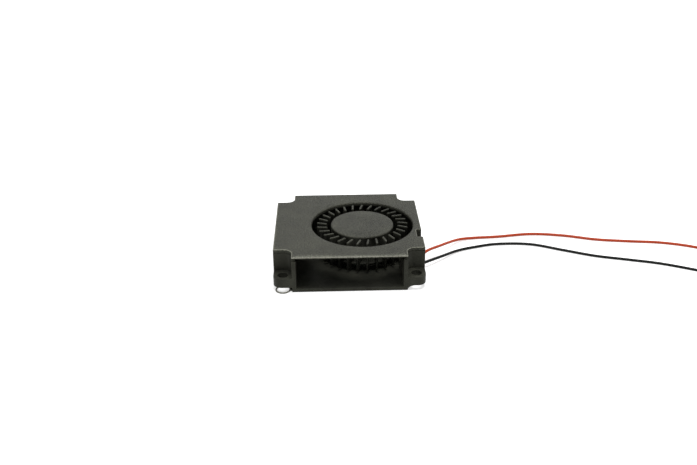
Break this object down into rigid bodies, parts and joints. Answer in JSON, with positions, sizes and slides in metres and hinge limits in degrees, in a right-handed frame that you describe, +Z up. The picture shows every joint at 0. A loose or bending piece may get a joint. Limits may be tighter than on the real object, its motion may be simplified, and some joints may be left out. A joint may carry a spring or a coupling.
{
  "type": "radial blower fan",
  "caption": "Flat square radial blower with a round top inlet, a wide slot outlet at the front, a bladed wheel on a small motor, corner mounting ears and a pair of thin leads with a connector.",
  "frame": {"origin": "middle of the housing's underside", "axes": "+X to the right seen from the outlet, -Y out of the outlet, +Z up through the inlet, along the shaft"},
  "size_m": [0.1389, 0.065, 0.01],
  "materials": {
    "housing_plastic": "fine moulded texture, dark grey",
    "wheel_plastic": "moulded black",
    "steel": "plain steel",
    "ferrite": "bonded ferrite",
    "bearing_bronze": "sintered",
    "nylon": "natural nylon",
    "copper_wire": "enamelled wire",
    "board": "solder mask",
    "chip_plastic": "moulded",
    "ceramic": "ceramic",
    "tinned_brass": "tinned",
    "solder": "smooth solder",
    "red_insulation": "satin insulation",
    "black_insulation": "satin insulation",
    "tie_plastic": "moulded",
    "connector_nylon": "satin nylon"
  },
  "bodies": {
    "housing": {"base_shell": "housing_plastic", "top_cover": "housing_plastic", "bearing_cap": "housing_plastic", "stator_core": "steel", "bearing_bush": "bearing_bronze", "thrust_pad": "nylon", "upper_insulator": "nylon", "lower_insulator": "nylon", "winding_1": "copper_wire", "winding_2": "copper_wire", "winding_3": "copper_wire", "winding_4": "copper_wire", "circuit_board": "board", "driver_chip": "chip_plastic", "capacitor": "ceramic", "terminal_pins": "tinned_brass", "connector_contacts": "tinned_brass", "solder_joints": "solder", "red_lead": "red_insulation", "red_tail": "red_insulation", "black_lead": "black_insulation", "black_tail": "black_insulation", "lead_coil": "black_insulation", "coil_tie": "tie_plastic", "connector_housing": "connector_nylon"},
    "rotor": {"impeller": "wheel_plastic", "rotor_yoke": "steel", "ring_magnet": "ferrite", "shaft": "steel", "retaining_ring": "steel", "oil_washer": "nylon"}
  },
  "joints": [
    {"name": "rotor_spin", "type": "hinge", "parent": "housing", "child": "rotor", "pos_m": [0.004, 0, 0.005], "axis": [0, 0, 1], "continuous": true}
  ]
}
